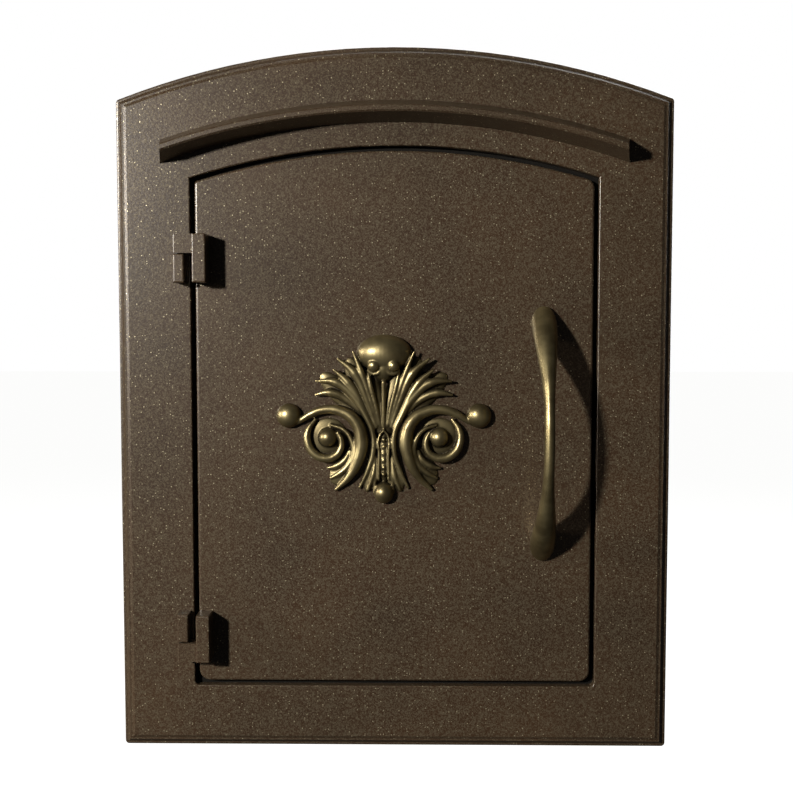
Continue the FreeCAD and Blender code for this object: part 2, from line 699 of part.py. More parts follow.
def make_catch_housing():
    """Moulded case of the magnetic catch, with an ear that screws to the back of the stop frame."""
    body = new_body("catch_housing")
    middle, half_length = size("catch_middle"), size("catch_length") * HALF
    front = strike_back - size("catch_shy")
    case = sketch_on(body, "case_outline", "XZ_Plane", front)
    add_rectangle(case, size("catch_left"), size("catch_right"), middle - half_length, middle + half_length)
    add_pad(body, "case", case, size("catch_depth"), inwards=True)
    ear = sketch_on(body, "ear_outline", "XZ_Plane", stop_back)
    add_rectangle(ear, size("catch_right"), size("catch_ear"), middle - half_length, middle + half_length)
    add_pad(body, "ear", ear, size("catch_ear_wall"), inwards=True)
    well = sketch_on(body, "well_outline", "XZ_Plane", front)
    half_magnet = size("magnet_length") * HALF
    add_rectangle(well, size("magnet_left") - size("pole_wall"), size("magnet_right") + size("pole_wall"),
                  middle - half_magnet, middle + half_magnet)
    add_pocket(body, "well", well, size("magnet_depth"), outwards=False)
    holes = sketch_on(body, "hole_outline", "XZ_Plane", stop_back)
    add_circles(holes, catch_screw_places(), size("m3_clear"))
    add_pocket(body, "holes", holes)
    return body


def make_catch_magnet():
    body = new_body("catch_magnet")
    middle, half_length = size("catch_middle"), size("magnet_length") * HALF
    front = strike_back - size("catch_shy")
    block = sketch_on(body, "block_outline", "XZ_Plane", front)
    add_rectangle(block, size("magnet_left"), size("magnet_right"),
                  middle - half_length, middle + half_length)
    add_pad(body, "block", block, size("magnet_depth"), inwards=True)
    return body


def make_catch_pole_plates():
    """The two steel plates beside the magnet, which stand proud of the case and meet the strike plate."""
    body = new_body("catch_pole_plates")
    middle, half_length = size("catch_middle"), size("magnet_length") * HALF
    plates = sketch_on(body, "plate_outlines", "XZ_Plane", strike_back - size("pole_gap"))
    for left in (size("magnet_left") - size("pole_wall"), size("magnet_right")):
        add_rectangle(plates, left, left + size("pole_wall"), middle - half_length, middle + half_length)
    depth = size("magnet_depth") + size("catch_shy") - size("pole_gap")
    add_pad(body, "plates", plates, depth, inwards=True)
    return body


# ---------------------------------------------------------------- the door's side

def make_door_panel():
    """Inset door, flush with the plate's field, with soft cast edges."""
    body = new_body("door_panel")
    half_width, bottom = size("door_half_width"), size("door_bottom")
    outline = sketch_on(body, "outline", "XZ_Plane", door_back)
    add_arched_outline(outline, half_width, bottom, size("door_crown"))
    add_pad(body, "panel", outline, size("door_wall"))

    def corner(side, low):
        def wanted(point, edge):
            at_foot = near(point.z, bottom.number)
            return runs_along_y(edge) and near(point.x, side * half_width.number) and at_foot == low
        return wanted

    add_fillet(body, "low_corners", size("door_low_corner"),
               lambda point, edge: corner(1, True)(point, edge) or corner(-1, True)(point, edge))
    add_fillet(body, "hinge_corner", size("door_hinge_corner"), corner(-1, False))
    add_fillet(body, "free_corner", size("door_free_corner"), corner(1, False))
    add_fillet(body, "front_edge", size("door_round"),
               lambda point, edge: near(point.y, -size("field_height").number))

    holes = sketch_on(body, "hole_outline", "XZ_Plane", door_back)
    add_circles(holes, handle_screw_places(), size("m5_clear"))
    add_circles(holes, bracket_screw_places(), size("m3_clear"))
    add_circles(holes, ornament_stud_places(), size("stud_clear"))
    add_pocket(body, "holes", holes)
    sinks = sketch_on(body, "sink_outline", "XZ_Plane", door_back)
    add_circles(sinks, bracket_screw_places(), size("m3_sink_radius") + size("thread_gap"))
    taper = slope_angle(size("m3_sink_radius") - size("m3_radius"), size("m3_sink"))
    add_pocket(body, "sinks", sinks, size("m3_sink"), taper=taper)
    strike_hole = sketch_on(body, "strike_hole_outline", "XZ_Plane", door_back)
    add_circles(strike_hole, strike_screw_places(), size("m3_radius") + size("thread_gap"))
    add_pocket(body, "strike_hole", strike_hole, size("strike_hole_depth"))
    return body


def make_door_seal():
    """Soft strip round the back of the door that closes on the stop frame."""
    body = new_body("door_seal")
    strip = sketch_on(body, "strip", "XZ_Plane", seal_back)
    for inset in (size("seal_outer_inset"), size("seal_inner_inset")):
        add_arched_outline(strip, size("door_half_width") - inset, size("door_bottom") + inset,
                           size("door_crown") - inset)
    add_pad(body, "seal", strip, size("seal_thickness"))
    return body


def make_strike_plate():
    """Steel plate on the back of the door that the catch holds."""
    body = new_body("strike_plate")
    middle, half_length = size("catch_middle"), size("strike_length") * HALF
    outline = sketch_on(body, "outline", "XZ_Plane", strike_back)
    add_rectangle(outline, size("strike_left"), size("strike_right"), middle - half_length,
                  middle + half_length)
    add_pad(body, "plate", outline, size("strike_wall"))
    hole = sketch_on(body, "hole_outline", "XZ_Plane", strike_back)
    add_circles(hole, strike_screw_places(), size("m3_sink_radius") + size("thread_gap"))
    add_pocket(body, "hole", hole)
    return body


def make_door_bracket(label, upper):
    """Bar on the door with an arm that reaches across the gap and turns on the pin."""
    body = new_body(label)
    bottom, top, arm_bottom, arm_top = bracket_span(upper)
    bar = sketch_on(body, "bar_section", "XY_Plane", bottom)
    add_rectangle(bar, size("bar_left"), size("bar_right"), -size("bar_front"), -size("field_height"))
    add_pad(body, "bar", bar, top - bottom)
    arm = sketch_on(body, "arm_section", "XY_Plane", arm_bottom)
    pin_y = -size("pin_height")
    add_rectangle(arm, size("pin_x") - size("block_half_width"), size("bar_left") + size("arm_lap"),
                  pin_y - size("arm_half_depth"), pin_y + size("arm_half_depth"))
    add_pad(body, "arm", arm, arm_top - arm_bottom)

    def on_outer_edge(point, edge):
        on_bar_front = near(point.y, -size("bar_front").number)
        on_bar_top = near(point.x, size("bar_right").number) and near(point.z, top.number)
        on_arm_end = near(point.x, (size("pin_x") - size("block_half_width")).number)
        return on_bar_front or on_bar_top or on_arm_end

    add_fillet(body, "soft_edges", size("hinge_round"), on_outer_edge)
    pin_hole = sketch_on(body, "pin_hole_outline", "XY_Plane", arm_bottom)
    add_circles(pin_hole, [(size("pin_x"), pin_y)], size("pin_radius") + size("pin_play"))
    add_pocket(body, "pin_hole", pin_hole)
    screw_holes = sketch_on(body, "screw_hole_outline", "XZ_Plane", size("field_height"))
    places = bracket_screw_places()[:2] if upper else bracket_screw_places()[2:]
    add_circles(screw_holes, places, size("m3_radius") + size("thread_gap"))
    add_pocket(body, "screw_holes", screw_holes, size("bracket_hole_depth"))
    return body


def bow_circle(half_length, rise):
    """Centre stand-off and radius of the arc through a chord's ends and its highest point."""
    radius = (half_length * half_length + rise * rise) / (rise * 2)
    return size("field_height") + rise - radius, radius


def make_door_handle():
    """Bowed pull: a crescent seen from the side, waisted seen from the front."""
    body = new_body("door_handle")
    middle = size("handle_middle")
    face_y = -size("field_height")
    side_view = sketch_on(body, "side_view", "YZ_Plane", size("handle_x"))
    arcs = []
    for length, rise in (("handle_half_length", "handle_rise"),
                         ("handle_inner_half_length", "handle_inner_rise")):
        half_length = size(length)
        centre_height, radius = bow_circle(half_length, size(rise))
        foot, head = (face_y, middle - half_length), (face_y, middle + half_length)
        arcs.append((add_arc(side_view, (-centre_height, middle), radius, head, foot), head, foot))
    (outer, outer_head, outer_foot), (inner, inner_head, inner_foot) = arcs
    low = add_line(side_view, outer_foot, inner_foot)
    high = add_line(side_view, inner_head, outer_head)
    for first, first_end, second, second_end in ((outer, END, low, START), (low, END, inner, END),
                                                 (inner, START, high, START), (high, END, outer, START)):
        side_view.addConstraint(Sketcher.Constraint("Coincident", first, first_end, second, second_end))
    for line in (low, high):
        side_view.addConstraint(Sketcher.Constraint("Vertical", line))
    bind(side_view, "DistanceX", (ORIGIN, START, low, START), face_y)
    bind(side_view, "DistanceX", (ORIGIN, START, high, START), face_y)
    add_pad(body, "bow", side_view, size("handle_foot_width"), both_ways=True)

    far = size("handle_foot_width") * 2
    half_waist, half_foot = size("handle_waist_width") * HALF, size("handle_foot_width") * HALF
    half_length = size("handle_inner_half_length")
    sagitta = half_foot - half_waist
    waist_radius = (half_length * half_length + sagitta * sagitta) / (sagitta * 2)
    for name, side in (("left", -1), ("right", 1)):
        waist = sketch_on(body, f"{name}_waist", "XZ_Plane", size("field_height"))
        centre = (size("handle_x") + (half_waist + waist_radius) * side, middle)
        near_x = size("handle_x") + half_foot * side
        far_x = size("handle_x") + far * side
        low_end, high_end = (near_x, middle - half_length), (near_x, middle + half_length)
        first, last = (high_end, low_end) if side > 0 else (low_end, high_end)
        curve = add_arc(waist, centre, waist_radius, first, last)
        corners = [last, (far_x, last[1]), (far_x, first[1]), first]
        lines = [add_line(waist, corners[i], corners[i + 1]) for i in range(3)]
        chain = [curve] + lines
        for i, item in enumerate(chain):
            waist.addConstraint(Sketcher.Constraint("Coincident", item, END, chain[(i + 1) % 4], START))
        waist.addConstraint(Sketcher.Constraint("Horizontal", lines[0]))
        waist.addConstraint(Sketcher.Constraint("Horizontal", lines[2]))
        place_point(waist, lines[1], START, *corners[1])
        place_point(waist, lines[1], END, *corners[2])
        add_pocket(body, f"{name}_side", waist)

    holes = sketch_on(body, "screw_hole_outline", "XZ_Plane", size("field_height"))
    add_circles(holes, handle_screw_places(), size("m5_radius") + size("thread_gap"))
    add_pocket(body, "screw_holes", holes, size("handle_hole_depth"))
    return body


def make_rings(label, places, back, thickness, outer, inner):
    """Flat rings, as separate solids: washers or push nuts behind the door."""
    body = new_body(label)
    rings = sketch_on(body, "rings", "XZ_Plane", back)
    add_circles(rings, places, outer)
    add_circles(rings, places, inner)
    add_pad(body, "ring", rings, thickness)
    return body


# lobes of the ornament, measured from its base point: across, up, half width, half height, relief, lean
CENTRE_LOBES = [
    (0, 53, 17, 15, 11, 0), (0, 18, 4.5, 32, 8, 0), (0, -14, 6, 22, 9, 0), (0, -35, 6.5, 8.5, 8, 0),
]
SIDE_LOBES = [
    (35, 0, 15.5, 15.5, 8, 0), (60.5, 13, 8, 8, 8, 0), (46, 15, 15, 5, 6, 0),
    (10.5, 28, 5, 29, 7, 20), (17, 24, 5, 31, 7, 34), (25, 17, 5.5, 31, 7, 52),
    (17, -12, 5, 26, 7.5, -40), (20, -17, 4.5, 22, 6.5, -58), (9, -17, 4.5, 22, 6.5, -24),
]


def make_ornament():
    """Classical palmette with scrolls: overlapping rounded lobes on the door's face, with two studs."""
    face_y = -size("field_height")
    lobes = [(1, lobe) for lobe in CENTRE_LOBES]
    lobes += [(side, lobe) for lobe in SIDE_LOBES for side in (-1, 1)]
    solids = []
    for number, (side, (across, up, half_width, half_height, relief, lean)) in enumerate(lobes):
        lobe = doc.addObject("Part::Ellipsoid", f"ornament_lobe_{number}")
        lobe.Radius1, lobe.Radius2, lobe.Radius3 = half_height, half_width, relief
        turn = FreeCAD.Rotation(FreeCAD.Vector(0, 1, 0), side * lean)
        lobe.Placement = FreeCAD.Placement(FreeCAD.Vector(), turn)
        lobe.setExpression("Placement.Base.x", f"dims.ornament_x + {side * across}")
        lobe.setExpression("Placement.Base.y", face_y.text)
        lobe.setExpression("Placement.Base.z", f"dims.ornament_base + {up}")
        solids.append(lobe)
    mass = doc.addObject("Part::MultiFuse", "ornament_relief")
    mass.Shapes = solids
    front = doc.addObject("Part::Box", "ornament_front")
    for length in ("Length", "Width", "Height"):
        front.setExpression(length, "2 * dims.ornament_reach")
    front.setExpression("Placement.Base.x", "dims.ornament_x - dims.ornament_reach")
    front.setExpression("Placement.Base.y", "-dims.field_height - 2 * dims.ornament_reach")
    front.setExpression("Placement.Base.z", "dims.ornament_base - dims.ornament_reach")
    cut_flat = doc.addObject("Part::MultiCommon", "ornament_cut_flat")
    cut_flat.Shapes = [mass, front]
    studs = [cut_flat]
    for x, z in ornament_stud_places():
        stud = doc.addObject("Part::Cylinder", "ornament_stud")
        stud.setExpression("Radius", "dims.stud_radius")
        stud.setExpression("Height", "dims.stud_length + dims.stud_root")
        stud.setExpression("Placement.Base.x", x.text)
        stud.setExpression("Placement.Base.y", "dims.stud_length - dims.field_height")
        stud.setExpression("Placement.Base.z", z.text)
        stud.Placement.Rotation = FreeCAD.Rotation(FreeCAD.Vector(1, 0, 0), 90)
        studs.append(stud)
    ornament = doc.addObject("Part::MultiFuse", "ornament")
    ornament.Label = "ornament"
    ornament.Shapes = studs
    return ornament


def make_subparts():
    hood_reach = size("field_height") + size("hood_hole_depth") - 1
    box_reach = field_back + size("box_hole_depth") - HALF
    block_reach = size("field_height") + size("block_hole_depth") - HALF
    bracket_reach = size("field_height") + size("bracket_hole_depth") - HALF
    handle_reach = size("field_height") + size("handle_hole_depth") - HALF
    catch_ear_back = stop_back - size("catch_ear_wall")
    strike_reach = door_back + size("strike_hole_depth") - HALF
    handle_washer_back = door_back - size("m5_washer")
    return [
        make_faceplate(),
        make_rain_hood(),
        make_screws("hood_screws", hood_screw_places(), flange_back, "m4", hood_reach),
        make_hinge_block("upper_hinge_block", size("upper_block_bottom")),
        make_hinge_block("lower_hinge_block", size("lower_block_bottom")),
        make_screws("hinge_block_screws", block_screw_places(), field_back, "m3", block_reach),
        make_hinge_pin("upper_hinge_pin", True),
        make_hinge_pin("lower_hinge_pin", False),
        make_hinge_washers(),
        make_door_stop_frame(),
        make_box_shell(),
        make_screws("box_screws", box_screw_places(), flange_back, "m4", box_reach),
        make_box_rear_panel(),
        make_rear_strips(),
        make_rear_rivets(),
        make_catch_housing(),
        make_catch_magnet(),
        make_catch_pole_plates(),
        make_screws("catch_screws", catch_screw_places(), catch_ear_back, "m3", field_back - HALF),
        make_door_panel(),
        make_door_bracket("upper_door_bracket", True),
        make_door_bracket("lower_door_bracket", False),
        make_screws("bracket_screws", bracket_screw_places(), door_back, "m3", bracket_reach, sunk=True),
        make_door_handle(),
        make_rings("handle_washers", handle_screw_places(), handle_washer_back, size("m5_washer"),
                   size("m5_washer_radius"), size("m5_radius") + size("thread_gap")),
        make_screws("handle_screws", handle_screw_places(), handle_washer_back, "m5", handle_reach),
        make_ornament(),
        make_rings("ornament_push_nuts", ornament_stud_places(), door_back - size("push_nut_wall"),
                   size("push_nut_wall"), size("push_nut_radius"), size("stud_radius")),
        make_door_seal(),
        make_strike_plate(),
        make_screws("strike_screw", strike_screw_places(), strike_back, "m3", strike_reach, sunk=True),
    ]


def check_and_write(subparts):
    """Stop if anything failed to build, then write one STEP file for each sub-part."""
    failed = [item.Label for item in doc.Objects if {"Invalid", "Error"} & set(item.State)]
    if failed:
        raise ValueError(f"these failed to build: {failed}")
    os.makedirs("parts", exist_ok=True)
    for part in subparts:
        shape = part.Shape
        if shape.isNull() or not shape.isValid() or not shape.Solids:
            raise ValueError(f"{part.Label} has no valid solid")
        shape.exportStep(f"parts/{part.Label}.step")
        print(f"{part.Label}: {len(shape.Solids)} solid(s), {shape.Volume:.0f} mm3")


built = make_subparts()
doc.recompute()
check_and_write(built)
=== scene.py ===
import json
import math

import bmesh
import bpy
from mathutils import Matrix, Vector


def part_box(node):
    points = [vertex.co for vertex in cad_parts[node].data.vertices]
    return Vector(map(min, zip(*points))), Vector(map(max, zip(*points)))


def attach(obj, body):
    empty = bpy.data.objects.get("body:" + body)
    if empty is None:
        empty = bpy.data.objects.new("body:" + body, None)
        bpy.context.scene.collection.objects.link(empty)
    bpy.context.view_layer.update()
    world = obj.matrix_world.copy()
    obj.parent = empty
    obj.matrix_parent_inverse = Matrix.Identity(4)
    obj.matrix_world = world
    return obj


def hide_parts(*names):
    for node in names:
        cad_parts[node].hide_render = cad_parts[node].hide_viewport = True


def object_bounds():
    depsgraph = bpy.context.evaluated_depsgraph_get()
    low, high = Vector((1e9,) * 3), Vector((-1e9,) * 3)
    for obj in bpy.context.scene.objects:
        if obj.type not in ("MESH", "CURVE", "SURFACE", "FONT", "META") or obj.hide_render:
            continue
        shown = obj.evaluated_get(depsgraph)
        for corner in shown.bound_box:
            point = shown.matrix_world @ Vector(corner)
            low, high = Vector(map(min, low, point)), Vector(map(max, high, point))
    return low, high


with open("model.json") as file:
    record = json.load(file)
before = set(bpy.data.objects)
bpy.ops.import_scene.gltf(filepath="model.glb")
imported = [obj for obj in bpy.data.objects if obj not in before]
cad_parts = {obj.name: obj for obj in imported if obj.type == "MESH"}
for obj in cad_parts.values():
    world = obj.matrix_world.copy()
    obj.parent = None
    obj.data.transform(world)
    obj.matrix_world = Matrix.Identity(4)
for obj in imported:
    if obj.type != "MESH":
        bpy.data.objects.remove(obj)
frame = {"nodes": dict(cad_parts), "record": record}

# %% [markdown]
# # A wall mailbox with a cast front in bronze powder coat
#
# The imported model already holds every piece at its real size: the cast front plate, the rain hood,
# the inset door, the hinges and the sheet steel box behind. In this lesson we keep those pieces as
# they are and give each one its finish. Two pieces deserve real modelling, because they are carved
# or cast by hand: the palmette ornament on the door and the bowed door pull.

MM = 0.001
cad_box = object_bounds()
print("CAD box in metres:", [[round(n, 4) for n in corner] for corner in cad_box])

# %% [markdown]
# ## The room
#
# A wall mailbox hangs on something, so there is nothing for it to stand on. A pale floor lies well
# below it and the world is pale all round. The floor is left out of the bounced light, because a
# white floor would light the underside of the hood, which is dark on the real one.

# %% Pale floor
FLOOR_DROP = 0.45
FLOOR_SIZE = 30.0
bpy.ops.object.select_all(action="DESELECT")
bpy.ops.mesh.primitive_plane_add(size=FLOOR_SIZE, location=(0, 0, -FLOOR_DROP))
floor = bpy.context.object
floor.name = "floor"
floor.visible_diffuse = False
floor.visible_glossy = False
print("The floor lies", FLOOR_DROP, "m below the mailbox.")


# %% [markdown]
# ## Colours and scales
#
# Colours are written the way a paint chart gives them, as sRGB hex values, and one function turns
# them into the linear values that the shaders work in. Grain, crystals and orange peel are sizes
# that one can measure on the real surface, so a second one takes millimetres.

# %% Colours and scales
def linear(hex_colour):
    """An sRGB hex colour, such as "8a7a5c", as linear red, green, blue and alpha."""
    channels = [int(hex_colour[i:i + 2], 16) / 255 for i in (0, 2, 4)]
    return [c / 12.92 if c <= 0.04045 else ((c + 0.055) / 1.055) ** 2.4 for c in channels] + [1.0]


def per_metre(millimetres):
    """A texture's scale that repeats once in that many millimetres."""
    return 1 / (millimetres * MM)


print("Bronze brown in linear light:", [round(c, 3) for c in linear("6b5238")])


# %% [markdown]
# ## Helpers for materials
#
# One function starts a material, whose even values are set on its shader. One adds a node with its
# settings and its links, so that each material below reads as a list of what it is made of. The
# last one links the finished colour, roughness and relief to the shader.

# %% Helpers for materials
def add(tree, kind, inputs=None, stops=(), **settings):
    """A node with its settings. An input is a value, a node's output, or a node for its first one.

    stops are the (place, hex colour) pairs of a colour ramp. Black to white makes it a mask.
    """
    node = tree.nodes.new(kind)
    for name, value in settings.items():
        setattr(node, name, value)
    for socket, value in (inputs or {}).items():
        if isinstance(value, bpy.types.Node):
            value = value.outputs[0]
        if isinstance(value, bpy.types.NodeSocket):
            tree.links.new(value, node.inputs[socket])
        else:
            node.inputs[socket].default_value = value
    for i, (at, colour) in enumerate(stops):
        element = node.color_ramp.elements[i] if i < 2 else node.color_ramp.elements.new(at)
        element.position = at
        element.color = linear(colour)
    return node


def new_material(name, colour, **sockets):
    """A material with one Principled shader, whose uniform values are set on its own sockets."""
    material = bpy.data.materials.new(name)
    material.use_nodes = True
    tree = material.node_tree
    shader = tree.nodes["Principled BSDF"]
    shader.inputs["Base Color"].default_value = linear(colour)
    for socket, value in sockets.items():
        socket = socket if socket.isupper() else socket.replace("_", " ").capitalize()
        shader.inputs[socket].default_value = value
    position = add(tree, "ShaderNodeTexCoord").outputs["Object"]
    return material, tree, shader, position


def feed(shader, **sources):
    """Links a node's first output to each named socket of the shader."""
    for socket, node in sources.items():
        shader.id_data.links.new(node.outputs[0], shader.inputs[socket.replace("_", " ")])


print("Helpers for materials ready.")

# %% [markdown]
# ## Studio floor paint
#
# A studio's sweep is painted white and lit until it looks even. Here the paint itself is a matt
# grey that glows, so that the floor looks pale without a lamp of its own.

# %% Studio floor paint
FLOOR_GLOW = 0.99
studio_paint, _, shader, _ = new_material("pale studio floor paint", "3c3c3c", Roughness=0.9)
shader.inputs["Emission Color"].default_value = linear("fdfdfc")
shader.inputs["Emission Strength"].default_value = FLOOR_GLOW
floor.data.materials.append(studio_paint)
print("Floor painted, with a glow of", FLOOR_GLOW)

# %% [markdown]
# ## Light
#
# The key light is a small soft box on the left, a little higher than the mailbox, so that the
# bevels facing it are bright, those facing away are nearly black, and the pull throws a readable
# shadow on the door. An edge light, far out on the left and almost in line with the plate, only
# reaches the edges that face it. A broad, weak and warm fill from low on the right stands in for
# the room. Three more lamps stand behind the plate. They light the box for views from there, and
# nothing of theirs falls on the front.

# %% Lamps
MIDDLE_UP = 0.22
FRONT = Vector((0, cad_box[0].y, MIDDLE_UP))
KEY_OFFSET = (-0.95, -1.17, 0.38)


def soft_box(name, offset, size, watts, colour):
    """A square lamp at an offset in metres from the middle of the front, turned towards it."""
    bpy.ops.object.select_all(action="DESELECT")
    bpy.ops.object.light_add(type="AREA", location=FRONT + Vector(offset))
    lamp = bpy.context.object
    lamp.name = name
    lamp.data.size = size
    lamp.data.energy = watts
    lamp.data.color = linear(colour)[:3]
    lamp.rotation_euler = (-Vector(offset)).to_track_quat("-Z", "Y").to_euler()


soft_box("key_light", offset=KEY_OFFSET, size=0.1, watts=40, colour="fffdf6")
soft_box("fill_light", offset=(1.2, -2.4, -0.9), size=2.2, watts=0.7, colour="ffd9b0")
soft_box("back_light", offset=(0.4, 2.6, 2.1), size=2.4, watts=130, colour="ffffff")
soft_box("right_rear_light", offset=(1.9, 2.6, 0.7), size=2.2, watts=110, colour="ffffff")
soft_box("left_rear_light", offset=(-1.9, 2.6, 0.7), size=2.2, watts=60, colour="ffffff")
soft_box("edge_light", offset=(-2.3, -0.42, 0.35), size=0.5, watts=34, colour="fffaf2")
key_angle = math.degrees(math.atan2(-KEY_OFFSET[0], -KEY_OFFSET[1]))
print("Key light", round(key_angle), "degrees to the left of straight on.")

# %% [markdown]
# ## The world
#
# The world is bright to the eye, as a studio's white sweep is, but it gives little light, because
# the shadows under the hood and behind the pull are nearly black. The light path node tells the
# two apart: a ray from the camera meets white, and every other ray meets a dim room.

# %% Pale world
WORLD_LIGHT = 0.03
world = bpy.data.worlds.new("studio")
bpy.context.scene.world = world
world.use_nodes = True
tree = world.node_tree
room = tree.nodes["Background"]
room.inputs["Color"].default_value = linear("f2f3f5")
room.inputs["Strength"].default_value = WORLD_LIGHT
seen = add(tree, "ShaderNodeBackground", {"Color": linear("ffffff"), "Strength": 1.0})
ray = add(tree, "ShaderNodeLightPath").outputs["Is Camera Ray"]
mixed = add(tree, "ShaderNodeMixShader", {0: ray, 1: room.outputs[0], 2: seen.outputs[0]})
tree.links.new(mixed.outputs[0], tree.nodes["World Output"].inputs["Surface"])
bpy.context.scene.view_settings.view_transform = "Standard"
print("World light:", WORLD_LIGHT)

# %% [markdown]
# ## Camera
#
# The eye is level with the upper half of the door, a little right of the middle, and looks down
# by less than four degrees. A short telephoto lens keeps the plate's sides upright.

# %% Camera
EYE = Vector((0.013, -0.7676, 0.279))
LOOK_DOWN = math.radians(3.85)
TURN_LEFT = math.radians(0.87)
LENS_MM = 53.9
SENSOR_MM = 36
bpy.ops.object.camera_add(location=EYE, rotation=(math.radians(90) - LOOK_DOWN, 0, TURN_LEFT))
camera = bpy.context.object
camera.data.lens = LENS_MM
camera.data.sensor_width = SENSOR_MM
bpy.context.scene.camera = camera
print("Camera", round((EYE - FRONT).length, 3), "m from the front.")

# %% [markdown]
# ## Bronze powder coat
#
# The plate, hood, door and hinges are aluminium castings under a bronze powder coat: a dark brown,
# a little cloudy from the spraying, and filled with metal flake. Most flakes are buried and lie in
# patches, which lift the brown towards a pale brass. A broad noise mixes the browns, and a fine one
# with many steps of detail gathers the flake.

# %% Bronze powder coat: the brown and its buried flake
BROWN_CLOUD_MM = 60
FLAKE_PATCH_MM = 0.85
bronze_powder_coat, tree, coat_shader, position = new_material(
    "bronze powder coat on cast aluminium", "33251a", Roughness=0.3, IOR=1.5)
cloud = add(tree, "ShaderNodeTexNoise", {"Vector": position, "Scale": per_metre(BROWN_CLOUD_MM),
                                         "Detail": 3.0})
browns = add(tree, "ShaderNodeValToRGB", {"Fac": cloud}, [(0.3, "2a1c11"), (0.7, "342315")])
patch = add(tree, "ShaderNodeTexNoise", {"Vector": position, "Scale": per_metre(FLAKE_PATCH_MM),
                                         "Detail": 4.0, "Roughness": 0.75})
buried = add(tree, "ShaderNodeValToRGB", {"Fac": patch}, [(0.46, "000000"), (0.86, "ffffff")])
flaked = add(tree, "ShaderNodeMixRGB", {"Fac": buried, "Color1": browns,
                                        "Color2": linear("857b66")})
print("Powder coat: buried flake in patches", FLAKE_PATCH_MM, "mm across.")

# %% [markdown]
# ### Flakes at the surface, and orange peel
#
# One flake here and there lies at the surface and flashes as bare metal. Real flakes are under a
# tenth of a millimetre and would vanish here, so they are drawn as soft spots up to 0.8 mm across.
# A Voronoi pattern gives each of its cells one spot, and the cell's own shade decides whether it
# shows. Powder also melts and flows when it is baked but never goes quite level, which leaves a
# fine orange peel between one and two millimetres across.

# %% Bronze powder coat: flakes at the surface, and orange peel
FLAKE_MM = 1.7
ORANGE_PEEL_MM = 1.7
PEEL_HEIGHT_MM = 0.2
flake = add(tree, "ShaderNodeTexVoronoi", {"Vector": position, "Scale": per_metre(FLAKE_MM)})
spot = add(tree, "ShaderNodeValToRGB", {"Fac": flake}, [(0.14, "ffffff"), (0.24, "000000")])
share = add(tree, "ShaderNodeSeparateColor", {"Color": flake.outputs["Color"]})
few = add(tree, "ShaderNodeValToRGB", {"Fac": share}, [(0.70, "000000"), (1.0, "ffffff")])
flash = add(tree, "ShaderNodeMath", {0: spot, 1: few}, operation="MULTIPLY")
coat_colour = add(tree, "ShaderNodeMixRGB", {"Fac": flash, "Color1": flaked,
                                             "Color2": linear("d9ccab")})
metal_share = add(tree, "ShaderNodeMath", {0: buried, 1: flash}, operation="MAXIMUM")
peel = add(tree, "ShaderNodeTexNoise", {"Vector": position, "Scale": per_metre(ORANGE_PEEL_MM),
                                        "Detail": 3.0, "Roughness": 0.6})
relief = add(tree, "ShaderNodeBump", {"Height": peel, "Strength": 0.32,
                                      "Distance": PEEL_HEIGHT_MM * MM})
feed(coat_shader, Base_Color=coat_colour, Metallic=metal_share, Normal=relief)
print("Powder coat: surface flakes in cells of", FLAKE_MM, "mm.")

# %% [markdown]
# ## The ornament
#
# The palmette is a small casting with a long history: a bud at the top, a fan of acanthus ribs
# below it, a pair of scrolls, and a beaded stem. A carver would lay down rolls of clay and blend
# them. We do the same. Each rib and scroll is a curve with a round section that swells and tapers,
# each bud and bead is a squashed ball, and all of them are melted together by a fine voxel remesh.
# Only the left half is laid out, and a mirror makes the right one. First come three helpers that
# choose a piece, apply its modifiers and join several pieces.

# %% Helpers for pieces
def select_only(piece):
    """Makes a piece the only chosen one, and the one that tools work on."""
    bpy.ops.object.select_all(action="DESELECT")
    piece.select_set(True)
    bpy.context.view_layer.objects.active = piece


def apply_modifiers(piece):
    """Turns a piece's modifiers into plain mesh, in their order."""
    select_only(piece)
    for name in [modifier.name for modifier in piece.modifiers]:
        bpy.ops.object.modifier_apply(modifier=name)


def joined(name, pieces):
    """Several meshes made one, with their places put into the mesh."""
    select_only(pieces[0])
    for piece in pieces:
        piece.select_set(True)
    bpy.ops.object.join()
    bpy.ops.object.transform_apply(location=True, rotation=True, scale=True)
    bpy.context.object.name = name
    return bpy.context.object


print("Helpers for pieces ready.")


# %% [markdown]
# ### Clay
#
# The carver has two shapes to lay down, a roll and a ball. They are placed about the middle of the
# two scrolls, with across, up and lift (the height above the door) in millimetres.

# %% Rolls and balls of clay
def place(across, up, lift):
    """A point of the ornament, in metres: the viewer is towards -Y."""
    return Vector((across, -lift, up)) * MM


def roll(route, thickness):
    """A roll of clay along a route, with the radius at each of its points that the list gives."""
    bpy.ops.object.select_all(action="DESELECT")
    bpy.ops.curve.primitive_bezier_curve_add(location=(0, 0, 0))
    curve = bpy.context.object
    curve.data.dimensions = "3D"
    points = curve.data.splines[0].bezier_points
    points.add(len(route) - 2)
    for point, position, radius in zip(points, route, thickness):
        point.co = place(*position)
        point.handle_left_type = point.handle_right_type = "AUTO"
        point.radius = radius
    curve.data.bevel_depth = 1 * MM
    curve.data.bevel_resolution = 4
    curve.data.resolution_u = 10
    curve.data.use_fill_caps = True
    bpy.ops.object.convert(target="MESH")
    return bpy.context.object


def ball(centre, half_sizes, lean=0):
    """A squashed ball with its half sizes across, in depth and up, leaning that many degrees."""
    bpy.ops.object.select_all(action="DESELECT")
    bpy.ops.mesh.primitive_uv_sphere_add(segments=40, ring_count=24, radius=1 * MM,
                                         location=place(*centre))
    made = bpy.context.object
    made.scale = half_sizes
    made.rotation_euler.y = math.radians(lean)
    bpy.ops.object.transform_apply(location=True, rotation=True, scale=True)
    return made


print("Rolls and balls ready.")

